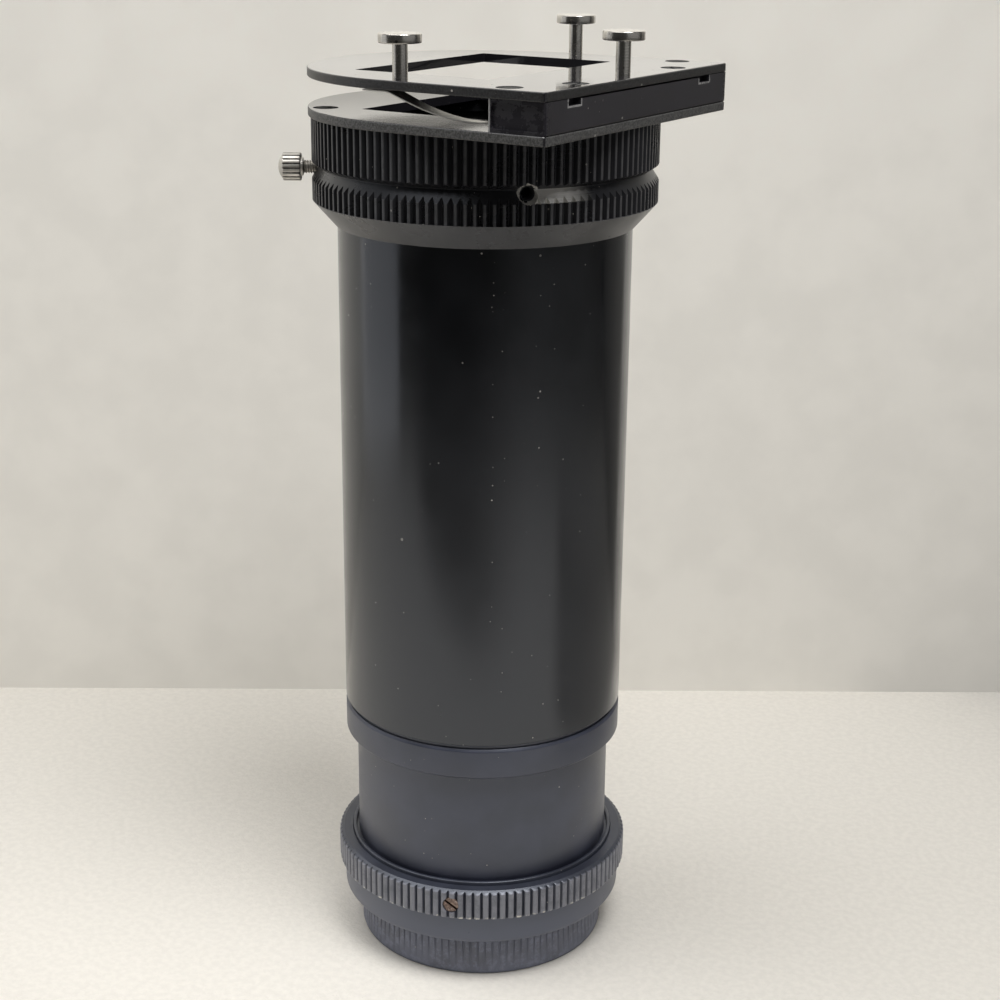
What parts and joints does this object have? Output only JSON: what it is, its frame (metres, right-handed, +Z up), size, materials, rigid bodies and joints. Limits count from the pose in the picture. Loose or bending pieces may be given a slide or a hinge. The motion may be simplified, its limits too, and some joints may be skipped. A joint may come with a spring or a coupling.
{
  "type": "slide duplicator",
  "caption": "Slide copier for a camera: a tube with a relay lens, a turning slide stage with window plates and leaf springs, a clamp screw, and a knurled camera mount with a screw-on rear cap.",
  "frame": {"origin": "centre of the rear cap's flat base, on the optical axis", "axes": "+Z up the optical axis to the slide stage, +X to the square end of the stage plates, +Y to the right leaf spring"},
  "size_m": [0.063, 0.0632, 0.1753],
  "materials": {
    "cap_plastic": "moulded, satin",
    "mount_black": "black anodised, satin",
    "screw_brass": "plain turned",
    "black_metal": "black anodised, semi-gloss",
    "lens_glass": "polished",
    "black_plate": "black enamel, gloss",
    "black_screw": "blackened steel",
    "nickel": "nickel plated, polished",
    "spring_steel": "polished strip"
  },
  "bodies": {
    "tube": {"main_tube": "black_metal", "end_collar": "black_metal", "rear_tube": "black_metal", "inner_mount_ring": "black_metal", "lens_board": "black_metal", "board_lock_ring": "black_metal", "lens_barrel": "black_metal", "barrel_nut": "black_metal", "front_element": "lens_glass", "rear_element": "lens_glass", "aperture_stop": "black_metal", "front_spacer": "black_metal", "rear_spacer": "black_metal", "front_retainer": "black_metal", "rear_retainer": "black_metal"},
    "camera_mount": {"mount_ring": "mount_black", "mount_set_screws": "screw_brass"},
    "cap": {"rear_cap": "cap_plastic"},
    "stage": {"head_ring": "black_metal", "lower_plate": "black_plate", "lower_plate_screws": "black_screw", "stop_block": "black_plate", "upper_plate": "black_plate", "upper_plate_screws": "black_screw", "end_post": "nickel", "side_posts": "nickel"},
    "clamp": {"clamp_shoe": "screw_brass"},
    "screw": {"thumb_screw": "nickel"},
    "left_leaf": {"leaf_spring_left": "spring_steel"},
    "right_leaf": {"leaf_spring_right": "spring_steel"}
  },
  "joints": [
    {"name": "mount_turn", "type": "hinge", "parent": "tube", "child": "camera_mount", "pos_m": [0, 0, 0.0171], "axis": [0, 0, 1], "continuous": true},
    {"name": "cap_off", "type": "slide", "parent": "camera_mount", "child": "cap", "axis": [0, 0, -1], "range_m": [0, 0.03]},
    {"name": "stage_turn", "type": "hinge", "parent": "tube", "child": "stage", "pos_m": [0, 0, 0.15015], "axis": [0, 0, 1], "continuous": true},
    {"name": "shoe_slide", "type": "slide", "parent": "stage", "child": "clamp", "axis": [-0.8387, -0.5446, 0], "range_m": [0, 0.0012]},
    {"name": "thumb_turn", "type": "hinge", "parent": "clamp", "child": "screw", "pos_m": [-0.02516, -0.01634, 0.15015], "axis": [-0.8387, -0.5446, 0], "range_deg": [0, 961]},
    {"name": "left_leaf_flex", "type": "hinge", "parent": "stage", "child": "left_leaf", "pos_m": [-0.0004, -0.028, 0.16603], "axis": [0, -1, 0], "range_deg": [0, 4], "stiffness_Nm_per_rad": 0.6},
    {"name": "right_leaf_flex", "type": "hinge", "parent": "stage", "child": "right_leaf", "pos_m": [-0.0004, 0.028, 0.16603], "axis": [0, -1, 0], "range_deg": [0, 4], "stiffness_Nm_per_rad": 0.6}
  ],
  "couplings": [
    {"joint": "thumb_turn", "follows": "shoe_slide", "rad_per_m": 13963}
  ]
}
